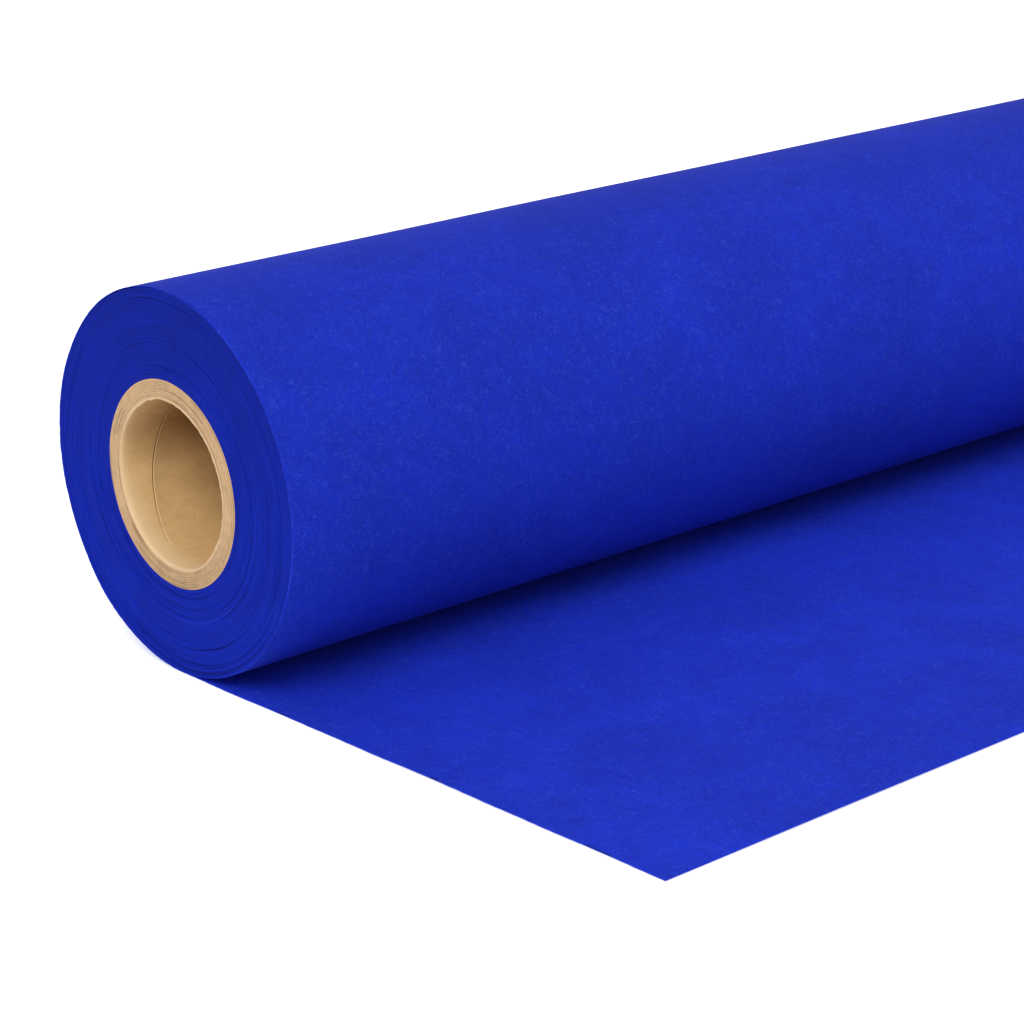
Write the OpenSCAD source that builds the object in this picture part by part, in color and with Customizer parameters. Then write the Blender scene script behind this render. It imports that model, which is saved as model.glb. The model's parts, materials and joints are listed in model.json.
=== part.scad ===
// Roll of studio background paper on a spiral-wound board core, lying on its side with the free end
// of the paper drawn out flat in front. X runs along the roll, -Y is the way the paper pays out, +Z is up.
// The origin is at the middle of the core's bore.

/* [Roll] */
// Width of the paper and length of the core, end to end
roll_w = 2720; // [1300:10:3600]
// Diameter of the wound paper under its outermost turn
pack_d = 130.5; // [110:0.5:160]
// How far the turns stand back from the cut end at most
telescope_depth = 0.6; // [0.2:0.1:1.2]
// Bands of turns that stand at different depths on each end
telescope_bands = 14; // [6:1:20]

/* [Core] */
// Bore of the board core, which a crossbar or a pair of drive hooks goes into
core_bore_d = 57; // [50:0.5:60]
// Thickness of each glued board ply
ply_t = 0.85; // [0.6:0.05:0.95]

/* [Paper] */
// Thickness of the paper
paper_t = 0.2; // [0.15:0.01:0.25]
// Running clearance of the wound paper inside its outermost turn
turn_gap = 0.1; // [0.05:0.01:0.1]
// How far the outermost turn wraps round before it passes into the wound paper
turn_wrap_deg = 345; // [330:1:350]
// How far the drawn-out sheet reaches past the flat run under it, to its cut front edge
front_lap = 7.4; // [4:0.1:200]
// Distance from below the roll's axis to where the drawn-out sheet starts
leader_start = 10; // [10:1:12]
// Half turns the roll is free to make as the paper pays out
feed_half_turns = 1; // [0.25:0.05:1]

/* [Tail tape] */
// Length of each strip of tape round the core
tape_arc_deg = 70; // [30:5:120]
// Width of each strip along the roll
tape_w = 48; // [24:1:60]
// Strips of tape along the roll
tape_count = 5; // [2:1:7]
// Thickness of the tape
tape_t = 0.09; // [0.05:0.01:0.1]

/* [Hidden] */
// the plies of the core, from the bore outwards
ply_count = 8;
bore_r = core_bore_d / 2;
core_r = bore_r + ply_count * ply_t;
// the first turn lies over the tape
tail_gap = 0.15;
pack_in_r = core_r + tail_gap;
pack_r = pack_d / 2;
turn_in_r = pack_r + turn_gap;
turn_out_r = turn_in_r + paper_t;
floor_z = -turn_out_r;
// one half turn of the roll draws out this much paper
web_r = turn_in_r + paper_t / 2;
feed_travel = web_r * PI * feed_half_turns;
// the flat run under the sheet still laps it by this much when the roll has turned
apron_lap = 8;
apron_len = leader_start + feed_travel + apron_lap;
// distance from below the roll's axis to the cut front edge
leader_len = apron_len + front_lap;
// space between the flat run and the sheet that slides over it
sheet_gap = 0.1;
leader_z = floor_z + paper_t + sheet_gap;
// each strip of tape stands this far in from the roll's end at most
tape_margin = 160;
// bands of turns look unevenly wound when their depths step by this angle
band_turn_deg = 137.5;
round_fn = 120;

kraft = [0.80, 0.66, 0.49];
kraft_dark = [0.66, 0.50, 0.33];
paper_blue = [0.13, 0.20, 0.74];
paper_edge_blue = [0.09, 0.15, 0.62];
tape_tan = [0.85, 0.80, 0.66];

// Turns a shape drawn round Z so that it lies round X, its zero angle straight down
// and its angles growing by way of the back and the top.
module along_x() {
  rotate([0, 90, 0]) children();
}

// A tube round the roll's axis, its cut ends square, between two angles if it is not whole.
module shell(r_in, thickness, width, sweep = 360) {
  along_x()
    rotate_extrude(angle = sweep, $fn = round_fn)
      translate([r_in, -width / 2])
        square([thickness, width]);
}

// One board ply of the core, counted from the bore outwards.
module core_ply(index) {
  shell(bore_r + (index - 1) * ply_t, ply_t, roll_w);
}

// Depth of a band of turns behind the cut end. The first and last bands stand flush.
function band_depth(i) =
  (i == 0 || i == telescope_bands - 1) ? 0 : telescope_depth * (1 + sin(i * band_turn_deg)) / 2;

// Half length of the wound paper in a band.
function band_half(i) = roll_w / 2 - band_depth(i);

module core_liner() {
  color(kraft_dark) core_ply(1);
}

module core_ply_2() {
  color(kraft) core_ply(2);
}

module core_ply_3() {
  color(kraft) core_ply(3);
}

module core_ply_4() {
  color(kraft) core_ply(4);
}

module core_ply_5() {
  color(kraft) core_ply(5);
}

module core_ply_6() {
  color(kraft) core_ply(6);
}

module core_ply_7() {
  color(kraft) core_ply(7);
}

module core_wrap() {
  color(kraft) core_ply(ply_count);
}

// Strips of tape that hold the inner end of the paper to the core, evenly spaced along it.
module tail_tape() {
  pitch = (roll_w - 2 * tape_margin) / (tape_count - 1);
  color(tape_tan)
    for (i = [0 : tape_count - 1])
      translate([tape_margin - roll_w / 2 + i * pitch, 0, 0])
        shell(core_r, tape_t, tape_w, tape_arc_deg);
}

// The turns between the core and the outermost turn, as one body with stepped ends.
module wound_paper() {
  band = (pack_r - pack_in_r) / telescope_bands;
  outline = [
    for (i = [0 : telescope_bands - 1]) each [
      [pack_in_r + i * band, band_half(i)],
      [pack_in_r + (i + 1) * band, band_half(i)]
    ],
    for (i = [telescope_bands - 1 : -1 : 0]) each [
      [pack_in_r + (i + 1) * band, -band_half(i)],
      [pack_in_r + i * band, -band_half(i)]
    ]
  ];
  color(paper_edge_blue)
    along_x()
      rotate_extrude($fn = round_fn)
        polygon(outline);
}

// The outermost turn, from the lowest line of the roll up the back, over the top and down the front.
module outer_turn() {
  color(paper_blue) shell(turn_in_r, paper_t, roll_w, turn_wrap_deg);
}

// The flat run of paper that comes off the lowest line of the outermost turn.
module flat_run() {
  color(paper_blue)
    translate([-roll_w / 2, -apron_len, floor_z])
      cube([roll_w, apron_len, paper_t]);
}

// The free end of the paper, drawn out flat to its square-cut front edge.
module leader_sheet() {
  color(paper_blue)
    translate([-roll_w / 2, -leader_len, leader_z])
      cube([roll_w, leader_len - leader_start, paper_t]);
}

core_liner();
core_ply_2();
core_ply_3();
core_ply_4();
core_ply_5();
core_ply_6();
core_ply_7();
core_wrap();
tail_tape();
wound_paper();
outer_turn();
flat_run();
leader_sheet();
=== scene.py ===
"""Looks of a roll of blue background paper on a board core, with its free end drawn out flat in front."""

import json
import math

import bpy
import numpy as np
from mathutils import Matrix, Vector

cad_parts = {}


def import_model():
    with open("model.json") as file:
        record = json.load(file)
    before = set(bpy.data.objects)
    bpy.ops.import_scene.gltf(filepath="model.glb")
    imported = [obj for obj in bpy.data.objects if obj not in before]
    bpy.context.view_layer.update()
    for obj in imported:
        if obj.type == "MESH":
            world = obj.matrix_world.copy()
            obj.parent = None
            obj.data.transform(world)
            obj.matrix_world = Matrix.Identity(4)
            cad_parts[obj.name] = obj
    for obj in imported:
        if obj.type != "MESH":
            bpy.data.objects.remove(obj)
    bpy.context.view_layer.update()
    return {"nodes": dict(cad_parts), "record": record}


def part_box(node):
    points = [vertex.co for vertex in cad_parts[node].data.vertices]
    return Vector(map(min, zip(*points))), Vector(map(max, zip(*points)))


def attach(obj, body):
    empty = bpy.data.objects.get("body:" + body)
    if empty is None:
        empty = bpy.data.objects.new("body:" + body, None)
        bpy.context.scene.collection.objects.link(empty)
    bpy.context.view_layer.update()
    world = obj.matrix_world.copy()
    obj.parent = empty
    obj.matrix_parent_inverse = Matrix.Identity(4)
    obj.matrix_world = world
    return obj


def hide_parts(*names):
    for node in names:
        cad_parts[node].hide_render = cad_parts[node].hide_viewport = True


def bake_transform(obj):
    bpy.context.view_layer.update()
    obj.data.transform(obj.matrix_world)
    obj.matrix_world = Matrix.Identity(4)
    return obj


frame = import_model()

# ---------------------------------------------------------------- sizes read from the frame, in metres
MM = 0.001
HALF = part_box("outer_turn")[1].x
ROLL_R = -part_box("flat_run")[0].z
PAPER_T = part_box("flat_run")[1].z + ROLL_R
TURN_GAP = 0.1 * MM
PACK_R = ROLL_R - PAPER_T - TURN_GAP
CORE_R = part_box("core_wrap")[1].z
BORE_R = frame["record"]["mounts"][0]["dims"]["r_mm"] * MM
PLIES = ["core_liner"] + [f"core_ply_{i}" for i in range(2, 8)] + ["core_wrap"]
PLY_T = (CORE_R - BORE_R) / len(PLIES)
FRONT_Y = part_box("leader_sheet")[0].y
FULL_TURN = 2 * math.pi
WRAP_ANGLE = math.radians(345)
# The liner's seam is a helix of this pitch. Straight below the axis it begins this deep behind each mouth.
SEAM_PITCH = 33 * MM
SEAM_START, SEAM_START_FAR = 5 * MM, 42 * MM
# mesh sides round the wound turns, a board ply and the liner
TURN_SIDES, PLY_SIDES, LINER_SIDES = 400, 256, 480
# how far the slack outermost paper stands off at most, and how ragged its cut edge is
PAPER_RIPPLE, PAPER_FRAY = 0.45 * MM, 0.16 * MM
# Relief of the turns' cut edges: (width of a band of turns, knots round the ring, height).
BANDS = (
    (5 * MM, 5, 0.035 * MM), (2.2 * MM, 7, 0.03 * MM),
    (0.9 * MM, 14, 0.04 * MM), (0.4 * MM, 26, 0.05 * MM),
)
# the reach to each side of a single turn that stands out, and the share of such turns in the lower half
TURN_REACH, LOW_SHARE = (0.11 * MM, 0.17 * MM), 0.6
# The liner's worn mouth, from the wall to the cut face, in shares of (the ply's thickness, the worn depth,
# the burr's height). The first WORN_WALL of them belong to the wall.
WORN = (
    (0.0, 1.0, 0.0), (0.07, 0.60, 0.45), (0.22, 0.26, 0.90),
    (0.36, 0.12, 1.0), (0.52, 0.04, 0.8), (0.75, 0.01, 0.3),
)
WORN_WALL = 3
# The seam's groove in millimetres: (further in than the seam, cut into the wall). The lap beyond the groove
# stands proud of the wall.
SEAM_GROOVE = (
    (-3.0, 0.0), (-0.60, 0.0), (-0.42, 0.0), (-0.32, 0.30),
    (-0.06, 0.32), (0.02, -0.10), (0.35, -0.08), (1.6, 0.0),
)
# A board ply's edge, in shares of its groove: (away from the joint, behind the face).
PLY_EDGE = ((0.0, 2.2), (0.22, 0.8), (0.9, 0.1), (3.0, 0.0))

# ---------------------------------------------------------------- colours, linear
PAPER_BLUE = (0.0046, 0.0278, 0.566)
PAPER_LINT = (0.014, 0.021, 0.075)
EDGE_BLUE = (0.0010, 0.0150, 0.362)
EDGE_PALE = (0.010, 0.030, 0.48)
FUZZ_PALE = (0.024, 0.058, 0.53)
KRAFT = (0.535, 0.352, 0.193)
KRAFT_DARK = (0.30, 0.17, 0.075)
RIM_RUST = (0.60, 0.33, 0.12)
LINER_TAN = (0.68, 0.44, 0.205)
LIP_PALE = (0.555, 0.395, 0.235)
RUBBED_PALE = (0.73, 0.53, 0.32)
TAPE_TAN = (0.70, 0.62, 0.42)
FLOOR_WHITE = (0.86, 0.86, 0.87)
BLACK, WHITE = (0.0, 0.0, 0.0), (1.0, 1.0, 1.0)


# ---------------------------------------------------------------- node helpers
def material(name, roughness, specular):
    """(material, its nodes, a function that links two sockets, its shader) for a new material."""
    mat = bpy.data.materials.new(name)
    mat.use_nodes = True
    nodes = mat.node_tree.nodes
    shader = nodes["Principled BSDF"]
    shader.inputs["Roughness"].default_value = roughness
    shader.inputs["Specular IOR Level"].default_value = specular
    return mat, nodes, mat.node_tree.links.new, shader


def place(nodes, link, scale=(1, 1, 1), turn=(0, 0, 0), at=(0, 0, 0), kind="POINT"):
    """Object coordinates, moved, turned (in degrees) and stretched."""
    coord = nodes.new("ShaderNodeTexCoord")
    m = nodes.new("ShaderNodeMapping")
    m.vector_type = kind
    m.inputs["Location"].default_value = at
    m.inputs["Rotation"].default_value = [math.radians(a) for a in turn]
    m.inputs["Scale"].default_value = scale
    link(coord.outputs["Object"], m.inputs["Vector"])
    return m.outputs["Vector"]


def split(nodes, link, vector):
    """The X, Y and Z of a vector."""
    s = nodes.new("ShaderNodeSeparateXYZ")
    link(vector, s.inputs[0])
    return s.outputs["X"], s.outputs["Y"], s.outputs["Z"]


def noise(nodes, link, vector, scale, detail=2.0, rough=0.5, distort=0.0):
    """Noise texture read at a vector."""
    n = nodes.new("ShaderNodeTexNoise")
    n.inputs["Scale"].default_value = scale
    n.inputs["Detail"].default_value = detail
    n.inputs["Roughness"].default_value = rough
    n.inputs["Distortion"].default_value = distort
    link(vector, n.inputs["Vector"])
    return n.outputs["Fac"]


def curls(nodes, link, vector, scale, width):
    """Thin curly lines, 1 along each: the places where a noise passes its middle value."""
    off = calc(nodes, link, "SUBTRACT", noise(nodes, link, vector, scale, 1, 0.5, 1.0), 0.5)
    return ramp(nodes, link, calc(nodes, link, "ABSOLUTE", off), (0.0, 1.0), (width, 0.0))


def line_noise(nodes, link, value, scale, detail):
    """Noise along one value only, such as a radius."""
    n = nodes.new("ShaderNodeTexNoise")
    n.noise_dimensions = "1D"
    n.inputs["Scale"].default_value = scale
    n.inputs["Detail"].default_value = detail
    n.inputs["Roughness"].default_value = 0.7
    link(value, n.inputs["W"])
    return n.outputs["Fac"]


def ramp(nodes, link, fac, *stops):
    """Colour ramp over (position, colour) stops. A number in place of a colour is a grey."""
    r = nodes.new("ShaderNodeValToRGB")
    points = r.color_ramp.elements
    while len(points) < len(stops):
        points.new(0.5)
    for point, (at, colour) in zip(points, stops):
        point.position = at
        point.color = (*colour, 1) if isinstance(colour, tuple) else (colour, colour, colour, 1)
    link(fac, r.inputs["Fac"])
    return r.outputs["Color"]


def mix(nodes, link, fac, a, b, mode="MIX"):
    """Colour a mixed with b. fac, a and b are sockets or plain values."""
    m = nodes.new("ShaderNodeMix")
    m.data_type = "RGBA"
    m.blend_type = mode
    for socket, value in ((m.inputs["Factor"], fac), (m.inputs[6], a), (m.inputs[7], b)):
        if isinstance(value, (int, float)):
            socket.default_value = value
        elif isinstance(value, tuple):
            socket.default_value = (*value, 1)
        else:
            link(value, socket)
    return m.outputs[2]


def shade(nodes, link, base, *greys):
    """A colour made darker by each grey in turn."""
    for grey in greys:
        base = mix(nodes, link, 1.0, base, grey, "MULTIPLY")
    return base


def calc(nodes, link, op, a, b=0.0):
    """a op b, where each is a socket or a number."""
    m = nodes.new("ShaderNodeMath")
    m.operation = op
    for socket, value in zip(m.inputs, (a, b)):
        if isinstance(value, (int, float)):
            socket.default_value = value
        else:
            link(value, socket)
    return m.outputs[0]


def radius_of(nodes, link, y, z):
    """Distance from the roll's axis."""
    squares = [calc(nodes, link, "MULTIPLY", v, v) for v in (y, z)]
    return calc(nodes, link, "SQRT", calc(nodes, link, "ADD", *squares))


def height_share(nodes, link, z, radius):
    """Height on a ring round the roll's axis, 0 at its bottom and 1 at its top."""
    return calc(nodes, link, "ADD", calc(nodes, link, "DIVIDE", z, 2 * radius), 0.5)


def end_depth(nodes, link, x):
    """How far a point lies in from the nearer end of the roll, in millimetres."""
    inward = calc(nodes, link, "SUBTRACT", HALF, calc(nodes, link, "ABSOLUTE", x))
    return calc(nodes, link, "MULTIPLY", inward, 1 / MM)


def bump(nodes, link, shader, *layers):
    """Bumps laid over each other, each (height, strength, distance)."""
    under = None
    for height, strength, distance in layers:
        b = nodes.new("ShaderNodeBump")
        b.inputs["Strength"].default_value = strength
        b.inputs["Distance"].default_value = distance
        link(height, b.inputs["Height"])
        if under is not None:
            link(under, b.inputs["Normal"])
        under = b.outputs["Normal"]
    link(under, shader.inputs["Normal"])


def tone(colour, by):
    """A colour made lighter or darker."""
    return tuple(min(1.0, c * by) for c in colour)


# ---------------------------------------------------------------- materials
def paper_material():
    """Matte dyed paper: cloudy formation, a fine grain, and short curled fibres, some pale and some dark.

    The roll's outside is a little duller from handling than the sheet that was just drawn out."""
    mat, nodes, link, shader = material("blue_paper", 0.9, 0.16)
    flat = place(nodes, link)
    cloud = noise(nodes, link, flat, 24, 3, 0.55, 0.3)
    blotch = noise(nodes, link, flat, 110, 3, 0.6, 0.5)
    grain = noise(nodes, link, flat, 2100, 2, 0.65)
    pale_tufts = noise(nodes, link, flat, 190, 2, 0.6)
    dark_tufts = noise(nodes, link, place(nodes, link, turn=(50, 20, 0)), 230, 2, 0.6)
    pale_curls = shade(
        nodes, link, curls(nodes, link, flat, 430, 0.048),
        ramp(nodes, link, pale_tufts, (0.34, 0.32), (0.64, 0.95)),
    )
    dark_curls = shade(
        nodes, link, curls(nodes, link, place(nodes, link, turn=(30, 0, 40)), 520, 0.060),
        ramp(nodes, link, dark_tufts, (0.36, 0.07), (0.64, 0.24)),
    )
    height = split(nodes, link, flat)[2]
    above_sheet = calc(nodes, link, "DIVIDE", calc(nodes, link, "ADD", height, ROLL_R), 12 * MM)
    base = shade(
        nodes, link, PAPER_BLUE,
        ramp(nodes, link, above_sheet, (0.1, 1.0), (1.0, 0.83)),
        ramp(nodes, link, cloud, (0.34, 0.86), (0.66, 1.02)),
        ramp(nodes, link, blotch, (0.32, 0.91), (0.68, 1.0)),
        ramp(nodes, link, grain, (0.32, 0.74), (0.66, 1.0)),
    )
    base = mix(nodes, link, dark_curls, base, BLACK)
    lint = shade(nodes, link, PAPER_LINT, mix(nodes, link, 0.85, (0.35, 0.35, 0.35), pale_curls))
    link(mix(nodes, link, 1.0, base, lint, "ADD"), shader.inputs["Base Color"])
    bump(nodes, link, shader, (pale_curls, 0.45, 0.12 * MM), (grain, 0.45, 0.08 * MM))
    return mat


def edge_material():
    """Cut edges of the wound turns: turns that stand out are paler, the gaps between them darker."""
    mat, nodes, link, shader = material("blue_paper_edge", 0.92, 0.1)
    spot = place(nodes, link)
    x, y, z = split(nodes, link, spot)
    radius = radius_of(nodes, link, y, z)
    for scale, size in ((28, 0.9 * MM), (150, 0.30 * MM)):
        sway = calc(nodes, link, "MULTIPLY", noise(nodes, link, spot, scale, 2, 0.5), size)
        radius = calc(nodes, link, "ADD", radius, sway)
    turns = line_noise(nodes, link, radius, 1900, 2)
    depth = end_depth(nodes, link, x)
    relief = ramp(nodes, link, depth, (0.05, EDGE_PALE), (0.22, EDGE_BLUE), (0.75, tone(EDGE_BLUE, 0.50)))
    patch = noise(nodes, link, spot, 60, 2, 0.6)
    lines = ramp(nodes, link, turns, (0.34, 0.58), (0.56, 1.0))
    faded = mix(nodes, link, ramp(nodes, link, patch, (0.36, 0.30), (0.62, 1.0)), WHITE, lines)
    grain = noise(nodes, link, spot, 2100, 2, 0.65)
    height = height_share(nodes, link, z, ROLL_R)
    base = shade(
        nodes, link, relief, faded,
        ramp(nodes, link, grain, (0.32, 0.70), (0.66, 1.0)),
        ramp(nodes, link, height, (0.15, 1.0), (0.60, 0.93), (0.95, 0.80)),
    )
    link(base, shader.inputs["Base Color"])
    bump(nodes, link, shader, (turns, 0.6, 0.15 * MM), (grain, 0.4, 0.08 * MM))
    return mat


def fuzz_material():
    """The cut edge of the outermost turn and sheet: broken pale fluff where the knife tore the fibres."""
    mat, nodes, link, shader = material("blue_paper_cut", 0.95, 0.15)
    spot = place(nodes, link)
    tufts = noise(nodes, link, spot, 900, 3, 0.7, 0.5)
    runs = noise(nodes, link, spot, 120, 2, 0.6)
    pale = ramp(nodes, link, tufts, (0.42, tone(PAPER_BLUE, 0.80)), (0.62, FUZZ_PALE))
    broken = ramp(nodes, link, runs, (0.40, 0.15), (0.60, 0.9))
    base = mix(nodes, link, broken, tone(PAPER_BLUE, 0.78), pale)
    link(base, shader.inputs["Base Color"])
    bump(nodes, link, shader, (tufts, 0.5, 0.1 * MM))
    return mat


def pulp(nodes, link, spot, light, contrast):
    """(colour, streaks, specks) of brown board: cloudy, with drawn-out fibres and sparse dark specks."""
    cloud = noise(nodes, link, spot, 130, 3, 0.6, 0.3)
    streak = noise(nodes, link, place(nodes, link, (0.35, 1, 1)), 520, 3, 0.65, 0.6)
    speck = noise(nodes, link, spot, 620, 1, 0.5)
    base = ramp(nodes, link, cloud, (0.30, tone(light, 1 - contrast)), (0.65, light))
    base = shade(
        nodes, link, base,
        ramp(nodes, link, streak, (0.32, 1 - contrast), (0.66, 1.0)),
        ramp(nodes, link, speck, (0.19, 0.5), (0.25, 1.0)),
    )
    return base, streak, speck


def smear(nodes, link, angle, radius, length, width):
    """A mask, high inside a smear that lies along a ring of the -X end, at an angle from straight down."""
    at = (-HALF, radius * math.sin(math.radians(angle)), -radius * math.cos(math.radians(angle)))
    spot = place(nodes, link, (length, length, width), (angle, 0, 0), at, "TEXTURE")
    size = nodes.new("ShaderNodeVectorMath")
    size.operation = "LENGTH"
    link(spot, size.inputs[0])
    torn = calc(nodes, link, "MULTIPLY", noise(nodes, link, place(nodes, link), 700, 2, 0.6), 0.5)
    spread = calc(nodes, link, "MULTIPLY", size.outputs["Value"], 0.6)
    return ramp(nodes, link, calc(nodes, link, "ADD", spread, torn), (0.42, 0.85), (0.85, 0.0))


def board_material():
    """Cut board: thin rings that come and go, a rusty outermost edge, a darker foot and two scuffs."""
    mat, nodes, link, shader = material("kraft_board", 0.93, 0.25)
    spot = place(nodes, link)
    base, streak, speck = pulp(nodes, link, spot, KRAFT, 0.16)
    _, y, z = split(nodes, link, spot)
    radius = radius_of(nodes, link, y, z)
    wobble = calc(nodes, link, "MULTIPLY", noise(nodes, link, spot, 90, 2, 0.5), 0.3 * MM)
    layers = line_noise(nodes, link, calc(nodes, link, "ADD", radius, wobble), 2600, 2)
    patch = noise(nodes, link, spot, 75, 2, 0.6)
    rings = ramp(nodes, link, layers, (0.34, 0.83), (0.56, 1.0))
    rings = mix(nodes, link, ramp(nodes, link, patch, (0.44, 0.05), (0.64, 1.0)), WHITE, rings)
    height = height_share(nodes, link, z, CORE_R)
    base = shade(nodes, link, base, rings, ramp(nodes, link, height, (0.03, 0.84), (0.35, 0.96)))
    rim = calc(nodes, link, "DIVIDE", calc(nodes, link, "SUBTRACT", CORE_R, radius), 1 * MM)
    base = mix(nodes, link, ramp(nodes, link, rim, (0.20, 0.35), (0.50, 0.0)), base, RIM_RUST)
    inner_edge = BORE_R + PLY_T
    for angle, outward, length, width in ((42, 0.2, 8.0, 0.7), (47, 0.7, 6.0, 1.8)):
        scuff = smear(nodes, link, angle, inner_edge + outward * MM, length * MM, width * MM)
        base = mix(nodes, link, scuff, base, KRAFT_DARK)
    link(base, shader.inputs["Base Color"])
    bump(nodes, link, shader, (streak, 0.35, 0.15 * MM), (layers, 0.35, 0.10 * MM), (speck, 0.2, 0.08 * MM))
    return mat


def worn_bore(nodes, link, spot, base, depth, height):
    """The bore's colour: browner with depth and on its upper side, and pale where its mouth is rubbed."""
    depth_share = calc(nodes, link, "DIVIDE", depth, 60.0)
    deep = ramp(nodes, link, depth_share, (0.12, 0.0), (0.75, 1.0))
    base = mix(nodes, link, deep, base, shade(nodes, link, base, (0.94, 0.88, 0.78)))
    brown = shade(
        nodes, link, ramp(nodes, link, depth_share, (0.05, 0.30), (0.50, 1.0)),
        ramp(nodes, link, height, (0.45, 0.0), (0.72, 1.0)),
    )
    base = mix(nodes, link, brown, base, shade(nodes, link, base, (0.30, 0.19, 0.08)))
    # the rubbed zone is about 11 mm deep at the bottom and 2 mm at the top
    ragged = calc(nodes, link, "MULTIPLY", noise(nodes, link, spot, 170, 3, 0.6), 0.3)
    inward = calc(nodes, link, "ADD", calc(nodes, link, "DIVIDE", depth, 13.0), ragged)
    inward = calc(nodes, link, "ADD", inward, calc(nodes, link, "MULTIPLY", height, 0.7))
    return mix(nodes, link, ramp(nodes, link, inward, (0.25, 0.85), (1.0, 0.0)), base, RUBBED_PALE)


def seam_lines(nodes, link, base, x, y, z, height):
    """The liner's helical seam: a dark gap with a pale edge beside it, and a duller strip beyond."""
    angle = calc(nodes, link, "ARCTAN2", y, calc(nodes, link, "MULTIPLY", z, -1.0))
    travel = calc(nodes, link, "DIVIDE", calc(nodes, link, "ADD", x, HALF - SEAM_START), SEAM_PITCH)
    phase = calc(nodes, link, "SUBTRACT", travel, calc(nodes, link, "DIVIDE", angle, FULL_TURN))
    turn_share = calc(nodes, link, "FRACT", calc(nodes, link, "ADD", phase, 0.5))
    off = calc(nodes, link, "SUBTRACT", turn_share, 0.5)
    across = calc(nodes, link, "ADD", calc(nodes, link, "MULTIPLY", off, SEAM_PITCH / (2 * MM)), 0.5)
    beyond = calc(nodes, link, "MULTIPLY", off, SEAM_PITCH / (10 * MM))
    dark = shade(
        nodes, link, ramp(nodes, link, across, (0.29, 0.0), (0.33, 1.0), (0.48, 1.0), (0.50, 0.0)),
        ramp(nodes, link, height, (0.08, 0.0), (0.30, 0.60), (0.55, 1.0)),
    )
    pale = shade(
        nodes, link, ramp(nodes, link, across, (0.50, 0.0), (0.55, 1.0), (0.68, 0.0)),
        ramp(nodes, link, height, (0.06, 0.0), (0.14, 0.8), (0.75, 0.30)),
    )
    lapped = ramp(nodes, link, beyond, (0.0, 1.0), (0.01, 0.88), (0.9, 1.0))
    above_foot = ramp(nodes, link, height, (0.12, 0.0), (0.40, 1.0))
    base = mix(nodes, link, above_foot, base, shade(nodes, link, base, lapped))
    base = mix(nodes, link, dark, base, tone(KRAFT_DARK, 0.25))
    return mix(nodes, link, pale, base, LIP_PALE)


def liner_material():
    """Smooth inner ply, worn at its mouth, with a helical seam along the bore."""
    mat, nodes, link, shader = material("kraft_liner", 0.90, 0.2)
    spot = place(nodes, link)
    base, streak, speck = pulp(nodes, link, spot, LINER_TAN, 0.10)
    x, y, z = split(nodes, link, spot)
    height = height_share(nodes, link, z, BORE_R)
    base = worn_bore(nodes, link, spot, base, end_depth(nodes, link, x), height)
    base = seam_lines(nodes, link, base, x, y, z, height)
    link(base, shader.inputs["Base Color"])
    bump(nodes, link, shader, (streak, 0.25, 0.10 * MM), (speck, 0.2, 0.08 * MM))
    return mat


def lip_material():
    """The liner's cut end, frayed pale by the saw and by handling."""
    mat, nodes, link, shader = material("kraft_lip", 0.95, 0.2)
    base, streak, speck = pulp(nodes, link, place(nodes, link), LIP_PALE, 0.10)
    link(base, shader.inputs["Base Color"])
    bump(nodes, link, shader, (streak, 0.45, 0.15 * MM), (speck, 0.3, 0.1 * MM))
    return mat


def tape_material():
    """Crepe paper tape with fine cross ridges."""
    mat, nodes, link, shader = material("paper_tape", 0.6, 0.4)
    ridge = noise(nodes, link, place(nodes, link, (0.2, 1, 1)), 1600, 2, 0.6)
    cloud = noise(nodes, link, place(nodes, link), 180, 3, 0.6)
    base = ramp(nodes, link, cloud, (0.3, tone(TAPE_TAN, 0.85)), (0.7, TAPE_TAN))
    link(base, shader.inputs["Base Color"])
    bump(nodes, link, shader, (ridge, 0.5, 0.1 * MM))
    return mat


# ---------------------------------------------------------------- mesh helpers
def make_mesh(name, points, faces, mats, indices=None):
    """A smooth object in the row frame from points and faces."""
    mesh = bpy.data.meshes.new(name)
    mesh.from_pydata([tuple(p) for p in points], [], [tuple(f) for f in faces])
    for m in mats:
        mesh.materials.append(m)
    if indices is not None:
        mesh.polygons.foreach_set("material_index", np.asarray(indices, np.int32))
    mesh.polygons.foreach_set("use_smooth", np.ones(len(mesh.polygons), bool))
    mesh.update()
    obj = bpy.data.objects.new(name, mesh)
    bpy.context.scene.collection.objects.link(obj)
    return obj


def grid_faces(rows, cols, wrap_cols=False, wrap_rows=False):
    """Quads of a grid of points numbered row by row, joined round where asked."""
    faces = []
    for i in range(rows if wrap_rows else rows - 1):
        for j in range(cols if wrap_cols else cols - 1):
            a, b = i * cols + j, i * cols + (j + 1) % cols
            c, d = ((i + 1) % rows) * cols + (j + 1) % cols, ((i + 1) % rows) * cols + j
            faces.append((a, b, c, d))
    return faces


def ring(x, radius, angles):
    """Points round the roll's axis, their angles counted from straight down by way of the back."""
    flat = np.zeros(len(angles))
    return np.stack([flat + x, radius * np.sin(angles), -radius * np.cos(angles)], -1)


def round_noise(rng, angles, knots, size):
    """A smooth random value round the ring, with that many knots."""
    values = rng.uniform(-size, size, knots)
    at = angles / FULL_TURN * knots
    k = np.floor(at).astype(int) % knots
    f = at - np.floor(at)
    f = f * f * (3 - 2 * f)
    return values[k] * (1 - f) + values[(k + 1) % knots] * f


def step(value, low, high):
    """Smooth step from 0 at low to 1 at high."""
    t = np.clip((value - low) / (high - low), 0, 1)
    return t * t * (3 - 2 * t)


def between(angles, rise, fall):
    """1 between two angles, with a smooth rise and fall, each given as (from, to) in degrees."""
    return step(angles, *np.radians(rise)) * (1 - step(angles, *np.radians(fall)))


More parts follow.
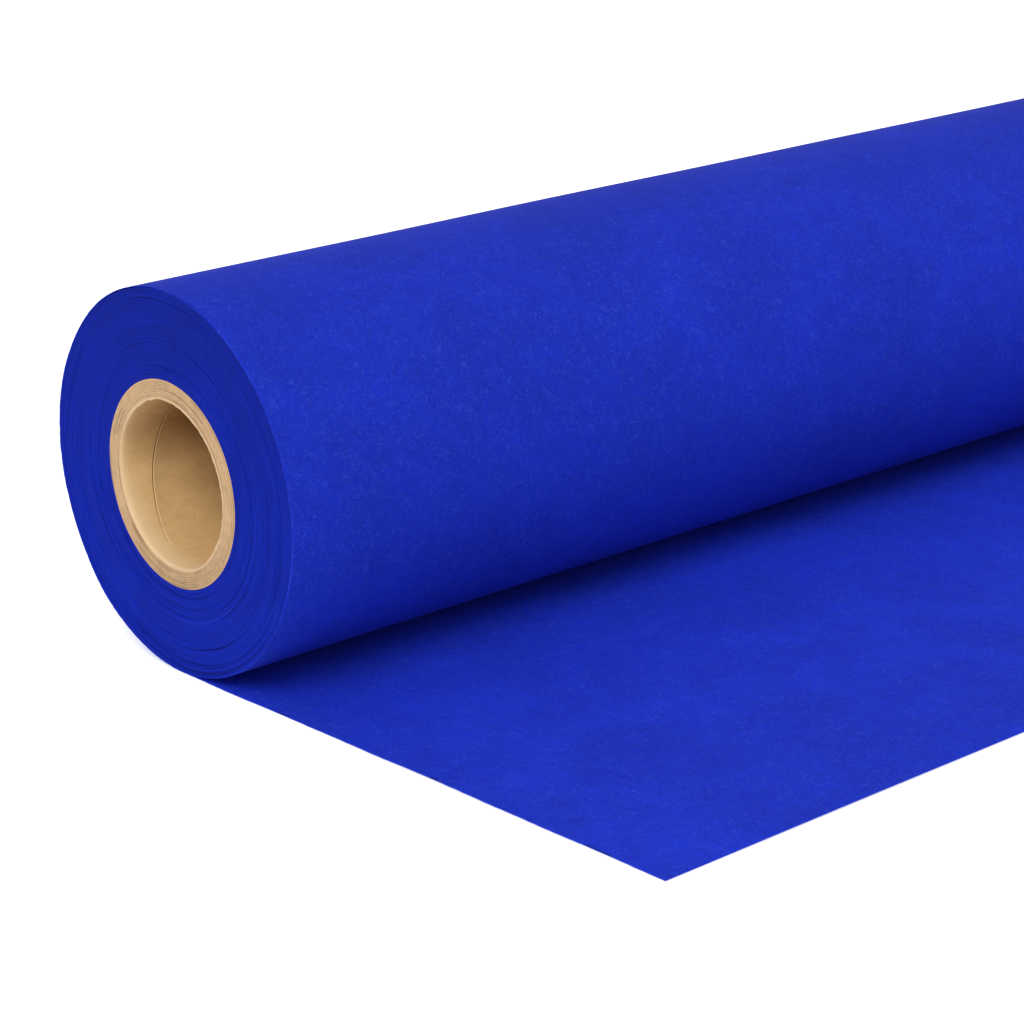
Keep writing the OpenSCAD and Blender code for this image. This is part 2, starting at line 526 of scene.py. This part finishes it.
def turn_relief(rng, radii, angles, width, knots, size):
    """Heights that are random from turn to turn and change slowly round the ring."""
    count = int((radii[-1] - radii[0]) / width) + 3
    table = np.array([round_noise(rng, angles, knots, size) for _ in range(count)])
    at = (radii - radii[0]) / width + 0.5
    k = np.clip(np.floor(at).astype(int), 0, count - 2)
    f = (at - k)[:, None]
    f = f * f * (3 - 2 * f)
    return table[k] * (1 - f) + table[k + 1] * f


def arc_relief(rng, radii, angles, count, size, span):
    """Single turns that stand out or sink for part of a round, more of them low down and near the outside."""
    total = np.zeros((len(radii), len(angles)))
    for _ in range(count):
        spread = FULL_TURN / 4 if rng.random() < LOW_SHARE else FULL_TURN / 2
        centre = rng.uniform(-spread, spread)
        half = rng.uniform(*span) / 2
        at = rng.uniform(radii[0] + 1 * MM, radii[-1] - 0.7 * MM)
        if rng.random() < 0.25:
            at = rng.uniform(radii[-1] - 6 * MM, radii[-1] - 0.7 * MM)
        lean = rng.uniform(-0.35, 0.35) * MM
        off = (angles - centre + math.pi) % FULL_TURN - math.pi
        line = at + lean * off
        for waves, sway in ((rng.uniform(2, 7), 0.20), (rng.uniform(12, 34), 0.10)):
            line += rng.uniform(0.2, 1) * sway * MM * np.sin(waves * off + rng.uniform(0, FULL_TURN))
        fade = np.where(np.abs(off) < half, np.cos(off / half * math.pi / 2) ** 2, 0) ** 0.7
        reach = rng.uniform(*TURN_REACH)
        total += rng.uniform(*size) * fade * np.exp(-(((radii[:, None] - line) / reach) ** 2))
    return total


# ---------------------------------------------------------------- pieces
def end_relief(rng, radii, angles):
    """Place of the turns' cut edges past the end of the roll, where less than 0 is behind it."""
    relief = -0.30 * MM * np.ones((len(radii), len(angles)))
    for width, knots, size in BANDS:
        relief += turn_relief(rng, radii, angles, width, knots, size)
    grooves = arc_relief(rng, radii, angles, count=130, size=(-0.36 * MM, -0.10 * MM), span=(0.3, 1.5))
    ridges = arc_relief(rng, radii, angles, count=110, size=(0.07 * MM, 0.19 * MM), span=(0.2, 1.2))
    relief = np.clip(relief + grooves + ridges, -1.2 * MM, 0)
    flush = step(radii, PACK_R - 0.5 * MM, PACK_R)[:, None]
    return relief * (1 - flush) - 0.15 * MM * flush


def wound_paper(edge, face):
    """The wound turns: a lathe whose two ends show single turns that stand a little in or out."""
    rng = np.random.default_rng(7)
    turns = 190
    radii = np.linspace(CORE_R + 0.02 * MM, PACK_R, turns)
    angles = np.linspace(0, FULL_TURN, TURN_SIDES, endpoint=False)
    ends = []
    for sign in (-1, 1):
        x = sign * (HALF + end_relief(rng, radii, angles))
        ends.append([ring(x[i], radii[i], angles) for i in range(turns)][::-sign])
    spans = np.linspace(-HALF + 20 * MM, HALF - 20 * MM, 60)
    outside = [ring(s, PACK_R, angles) for s in spans]
    inside = [ring(s, radii[0], angles) for s in spans[::-10]]
    rows = [*ends[0], *outside, *ends[1], *inside]
    faces = grid_faces(len(rows), TURN_SIDES, wrap_cols=True, wrap_rows=True)
    band = np.repeat(np.arange(len(rows)), TURN_SIDES)
    on_side = (band >= turns - 1) & (band < turns + len(outside))
    obj = make_mesh("wound_paper_turns", np.concatenate(rows), faces, [edge, face], on_side.astype(int))
    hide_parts("wound_paper")
    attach(obj, "roll")


def web_profile():
    """(place, outward direction, room to ripple) along the paper's middle line in the YZ plane.

    It runs from the inner end of the outermost turn, up the front, over the top, down the back, under the
    roll and out flat to the front edge. The inner end sinks into the turn below."""
    middle = ROLL_R - PAPER_T / 2
    tuck_from = math.radians(300)
    tuck = 0.26 * MM
    round_steps, flat_steps = 300, 110
    line = []
    for a in np.linspace(WRAP_ANGLE, 0, round_steps):
        r = middle - tuck * max(0.0, (a - tuck_from) / (WRAP_ANGLE - tuck_from)) ** 1.5
        out = (math.sin(a), -math.cos(a))
        room = step(a, 0.2, 0.9) * (1 - step(a, tuck_from - 0.5, tuck_from))
        line.append(((r * out[0], r * out[1]), out, room))
    for share in np.linspace(0, 1, flat_steps)[1:]:
        y = FRONT_Y * share
        line.append(((y, -middle), (0.0, -1.0), -1.0 * step(-y, 0.05, 0.11)))
    return line


def ripple(rng, size):
    """A function of the place along the roll and along the web that gives a slow unevenness, 0 to size."""
    waves = [(rng.uniform(8, 45), rng.uniform(15, 60), rng.uniform(0, FULL_TURN)) for _ in range(6)]

    def height(x, along):
        total = sum(1 + np.sin(kx * x + ks * along + phase) for kx, ks, phase in waves)
        return size * total / (2 * len(waves))

    return height


def paper_web(face, cut):
    """The outermost turn and the drawn-out sheet as one piece of paper, which draws out as it pays out."""
    rng = np.random.default_rng(21)
    line = web_profile()
    inner = np.linspace(-HALF + 4 * MM, HALF - 4 * MM, 170)
    rim = np.array([0, 0.45, 1.5]) * MM
    spans = np.concatenate([rim - HALF, inner, HALF - rim[::-1]])
    height = ripple(rng, PAPER_RIPPLE)
    walked = np.concatenate([[0], np.cumsum([math.dist(a[0], b[0]) for a, b in zip(line, line[1:])])])
    fray = rng.uniform(0, PAPER_FRAY, (len(line), 2))
    for waves, size in ((rng.uniform(60, 90), 0.14), (rng.uniform(150, 260), 0.08)):
        for end in (0, 1):
            fray[:, end] += size * MM * (1 + np.sin(waves * walked + rng.uniform(0, FULL_TURN)))
    points = []
    for side in (1, -1):
        for i in range(len(line)) if side > 0 else reversed(range(len(line))):
            (y, z), (ny, nz), room = line[i]
            out = side * PAPER_T / 2 + room * height(spans, walked[i])
            x = spans.copy()
            x[0] += fray[i, 0]
            x[-1] -= fray[i, 1]
            points.append(np.stack([x, y + out * ny, z + out * nz], -1))
    rows, cols = len(points), len(spans)
    faces = grid_faces(rows, cols, wrap_rows=True)
    at_rim = [
        j in (0, cols - 2) or i in (len(line) - 1, rows - 1) for i in range(rows) for j in range(cols - 1)
    ]
    for i in range(len(line) - 1):
        strip = [k * cols for k in (i, i + 1, rows - 2 - i, rows - 1 - i)]
        faces.append(strip)
        faces.append([k + cols - 1 for k in reversed(strip)])
        at_rim += [True, True]
    obj = make_mesh("paper_web", np.concatenate(points), faces, [face, cut], np.array(at_rim).astype(int))
    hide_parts("outer_turn", "flat_run", "leader_sheet")
    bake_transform(obj)


def tube(name, ends, inside, r_out, angles, mats):
    """One tube of the core. Its two cut ends are lists of rings from the bore out, in the second material."""
    spans = np.linspace(-HALF + 30 * MM, HALF - 30 * MM, 40)
    outside = [ring(s, r_out, angles) for s in spans]
    rows = [*ends[0], *outside, *ends[1][::-1], *inside]
    faces = grid_faces(len(rows), len(angles), wrap_cols=True, wrap_rows=True)
    band = np.repeat(np.arange(len(rows)), len(angles))
    second = len(ends[0]) + len(spans)
    on_end = (band < len(ends[0]) - 1) | ((band >= second) & (band < second + len(ends[1]) - 1))
    obj = make_mesh(name + "_board", np.concatenate(rows), faces, mats, on_end.astype(int))
    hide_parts(name)
    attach(obj, "roll")


def core_ply(index, name, board):
    """One board ply: its cut ends stand a little in or out, and its groove to the next ply comes and goes."""
    rng = np.random.default_rng(100 + index)
    angles = np.linspace(0, FULL_TURN, PLY_SIDES, endpoint=False)
    r_in, r_out = BORE_R + index * PLY_T, BORE_R + (index + 1) * PLY_T
    ends = []
    for sign in (-1, 1):
        back = rng.uniform(0.02, 0.22) * MM + np.abs(round_noise(rng, angles, 18, 0.10 * MM))
        groove = 0.10 * MM * (1 + round_noise(rng, angles, 9, 0.9))
        rows = [(r_in + away * groove, back + deep * groove) for away, deep in PLY_EDGE]
        rows += [(r_out - away * groove, back + deep * groove) for away, deep in reversed(PLY_EDGE)]
        ends.append([ring(sign * (HALF - d), r, angles) for r, d in rows])
    inside = [ring(s, r_in, angles) for s in np.linspace(HALF - 30 * MM, -HALF + 30 * MM, 8)]
    tube(name, ends, inside, r_out, angles, [board, board])


def seam_depth(angles, sign):
    """Depth of the liner's seam behind a mouth. Near straight down it runs back to where it began."""
    start, rate = (SEAM_START, SEAM_PITCH) if sign < 0 else (SEAM_START_FAR, -SEAM_PITCH)
    first, last = math.radians(20), math.radians(320)
    helix = start + rate * angles / FULL_TURN
    back = step((angles - last) % FULL_TURN, 0, first - last + FULL_TURN)
    closing = start + rate / FULL_TURN * (last * (1 - back) + first * back)
    return np.where((angles > first) & (angles < last), helix, closing)


def core_liner(board, lip):
    """The smooth inner ply: mouths worn round, with a ragged burr on top, and its seam cut as a groove."""
    rng = np.random.default_rng(100)
    angles = np.linspace(0, FULL_TURN, LINER_SIDES, endpoint=False)
    r_out = BORE_R + PLY_T
    open_seam = between(angles, (24, 48), (285, 315))
    along_top = between(angles, (100, 165), (300, 350))
    groove_start, groove_end = SEAM_GROOVE[0][0] * MM, SEAM_GROOVE[-1][0] * MM
    deepest = 52 * MM
    ends, walls = [], []
    for sign in (-1, 1):
        worn = 1.8 * MM * (1 + sum(round_noise(rng, angles, knots, 0.18) for knots in (110, 37, 13)))
        ragged = 1 + sum(round_noise(rng, angles, knots, 0.45) for knots in (17, 43, 120))
        burr = np.maximum(0.42 * MM * along_top * ragged, 0)
        notch = 0.10 * MM * (1 + round_noise(rng, angles, 70, 0.9))
        fluff = np.abs(round_noise(rng, angles, 150, 0.10 * MM))
        mouth = [(BORE_R + out * PLY_T - swell * burr, deep * worn + fluff) for out, deep, swell in WORN]
        face = mouth[WORN_WALL:] + [(r_out - 0.6 * notch, 0.3 * notch), (r_out, 1.4 * notch)]
        ends.append([ring(sign * (HALF - depth), radius, angles) for radius, depth in face])
        seam = seam_depth(angles, sign)
        wall = mouth[:WORN_WALL][::-1]
        wall += [(BORE_R, worn + share * (seam + groove_start - worn)) for share in (0.2, 0.45, 0.75)]
        wall += [(BORE_R + cut * MM * open_seam, seam + inward * MM) for inward, cut in SEAM_GROOVE]
        beyond = seam + groove_end
        wall += [(BORE_R, beyond + share * (deepest - beyond)) for share in (0.15, 0.4, 0.7, 1.0)]
        walls.append([ring(sign * (HALF - depth), radius, angles) for radius, depth in wall])
    middle = [ring(s, BORE_R, angles) for s in np.linspace(HALF - 90 * MM, -HALF + 90 * MM, 50)]
    inside = [*walls[1], *middle, *walls[0][::-1]]
    tube("core_liner", ends, inside, r_out, angles, [board, lip])


# ---------------------------------------------------------------- build
blue = paper_material()
board = board_material()
wound_paper(edge_material(), blue)
paper_web(blue, fuzz_material())
core_liner(liner_material(), lip_material())
for number, ply in enumerate(PLIES[1:], 1):
    core_ply(number, ply, board)
tail = frame["nodes"]["tail_tape"]
tail.data.materials.clear()
tail.data.materials.append(tape_material())


# ---------------------------------------------------------------- stage, lights and camera
def floor(glow):
    """A plain pale floor just under the paper, which glows a little like a light table."""
    mat, nodes, link, shader = material("floor_white", 0.95, 0.1)
    cloud = noise(nodes, link, place(nodes, link), 3, 2, 0.5)
    base = ramp(nodes, link, cloud, (0.3, tone(FLOOR_WHITE, 0.995)), (0.7, FLOOR_WHITE))
    link(base, shader.inputs["Base Color"])
    shader.inputs["Emission Color"].default_value = (*WHITE, 1)
    shader.inputs["Emission Strength"].default_value = glow
    size = 30.0
    z = -ROLL_R - 0.2 * MM
    corners = [(-size, -size, z), (size, -size, z), (size, size, z), (-size, size, z)]
    obj = make_mesh("floor", corners, [(0, 1, 2, 3)], [mat])


def soft_sun(name, towards, strength, spread):
    """A soft light from one direction, the same all along the roll. towards points at the light."""
    data = bpy.data.lights.new(name, "SUN")
    data.energy = strength
    data.angle = math.radians(spread)
    obj = bpy.data.objects.new(name, data)
    obj.rotation_euler = Vector(towards).to_track_quat("Z", "Y").to_euler()
    bpy.context.scene.collection.objects.link(obj)


def world(strength):
    """Even white surroundings."""
    w = bpy.data.worlds.new("studio")
    w.use_nodes = True
    w.node_tree.nodes["Background"].inputs["Color"].default_value = (*WHITE, 1)
    w.node_tree.nodes["Background"].inputs["Strength"].default_value = strength
    bpy.context.scene.world = w


def photo_camera():
    """The camera at the photographed angle on the near end of the roll, placed from that end's centre."""
    azimuth, elevation, roll = (math.radians(a) for a in (-40.53, 17.74, -1.86))
    away = Vector((-7.881, -11.828, 4.316)) * ROLL_R
    level = math.cos(elevation)
    back = Vector((math.sin(azimuth) * level, -math.cos(azimuth) * level, math.sin(elevation)))
    right = Vector((0, 0, 1)).cross(back).normalized()
    up = back.cross(right)
    turned_right = right * math.cos(roll) + up * math.sin(roll)
    turned_up = up * math.cos(roll) - right * math.sin(roll)
    data = bpy.data.cameras.new("camera")
    data.sensor_width = 36.0  # millimetres, as is the lens
    data.lens = 104.26
    data.clip_start, data.clip_end = 0.05, 100
    obj = bpy.data.objects.new("camera", data)
    turn = Matrix((turned_right, turned_up, back)).transposed().to_4x4()
    obj.matrix_world = Matrix.Translation(Vector((-HALF, 0, 0)) + away) @ turn
    bpy.context.scene.collection.objects.link(obj)
    bpy.context.scene.camera = obj


floor(glow=0.35)
world(strength=0.78)
soft_sun("key", towards=(-0.62, -0.38, 0.69), strength=1.75, spread=30)
soft_sun("front_fill", towards=(-0.35, -0.92, 0.17), strength=0.35, spread=60)
bpy.context.scene.view_settings.view_transform = "Standard"
photo_camera()
